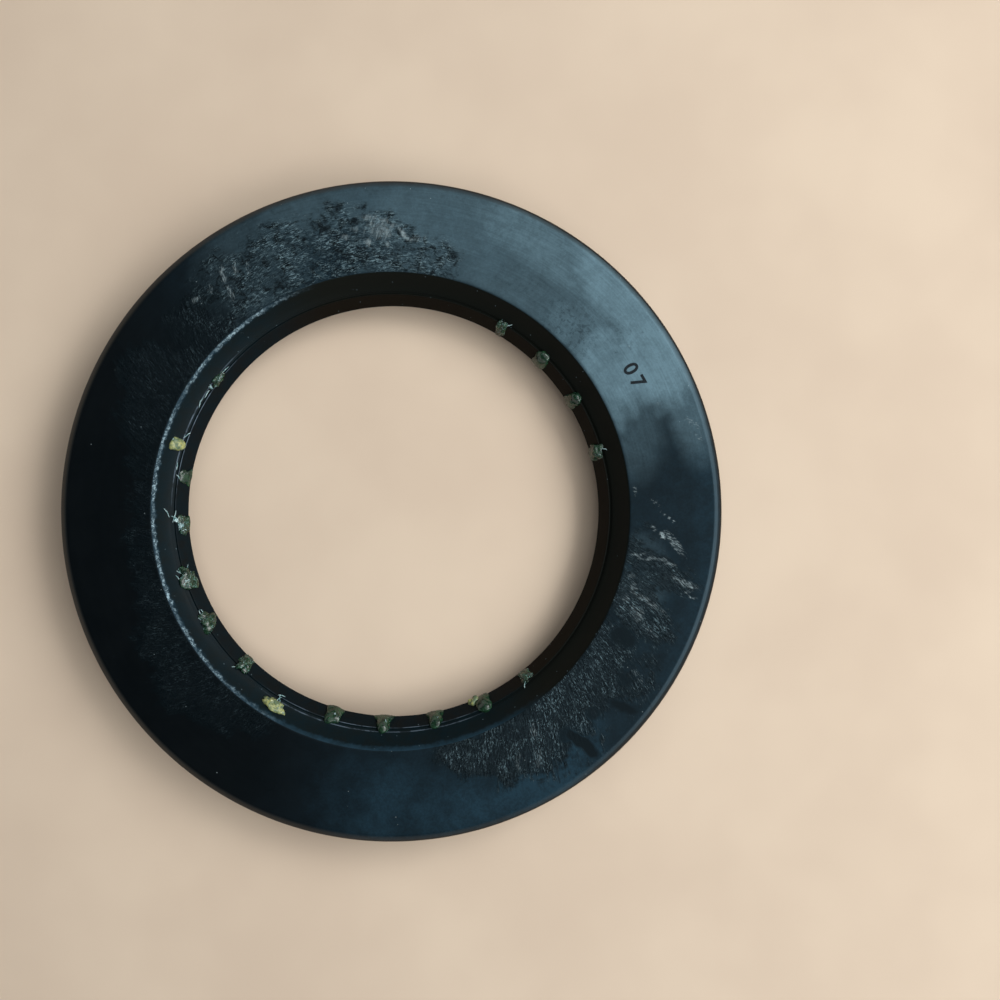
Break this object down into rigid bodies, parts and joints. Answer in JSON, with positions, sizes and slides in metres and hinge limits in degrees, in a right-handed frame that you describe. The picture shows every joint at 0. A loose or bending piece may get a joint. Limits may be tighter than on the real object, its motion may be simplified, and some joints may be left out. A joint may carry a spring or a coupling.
{
  "type": "wheel hub oil seal",
  "caption": "Round rubber-covered shaft seal for a wheel hub, with a steel-backed press-fit rim and a spring-loaded sealing lip.",
  "frame": {"origin": "centre of the shaft axis on the plane of the oil-side rim, which the seal stands on", "axes": "+Z along the shaft axis towards the air-side face, which the picture shows; +X to the picture's right, +Y to its top"},
  "size_m": [0.14, 0.14, 0.013],
  "materials": {
    "moulded_rubber": "satin, blue-black, with a thin smeared film of grease",
    "case_steel": "dull pressed sheet with a light film of oil",
    "spring_steel": "drawn wire",
    "green_grease": "glossy, slightly translucent",
    "yellow_grease": "soft gloss"
  },
  "bodies": {
    "root": {"rubber_body": "moulded_rubber", "steel_case": "case_steel", "garter_spring": "spring_steel", "grease_dots": "green_grease", "grease_lumps": "yellow_grease"}
  },
  "joints": []
}
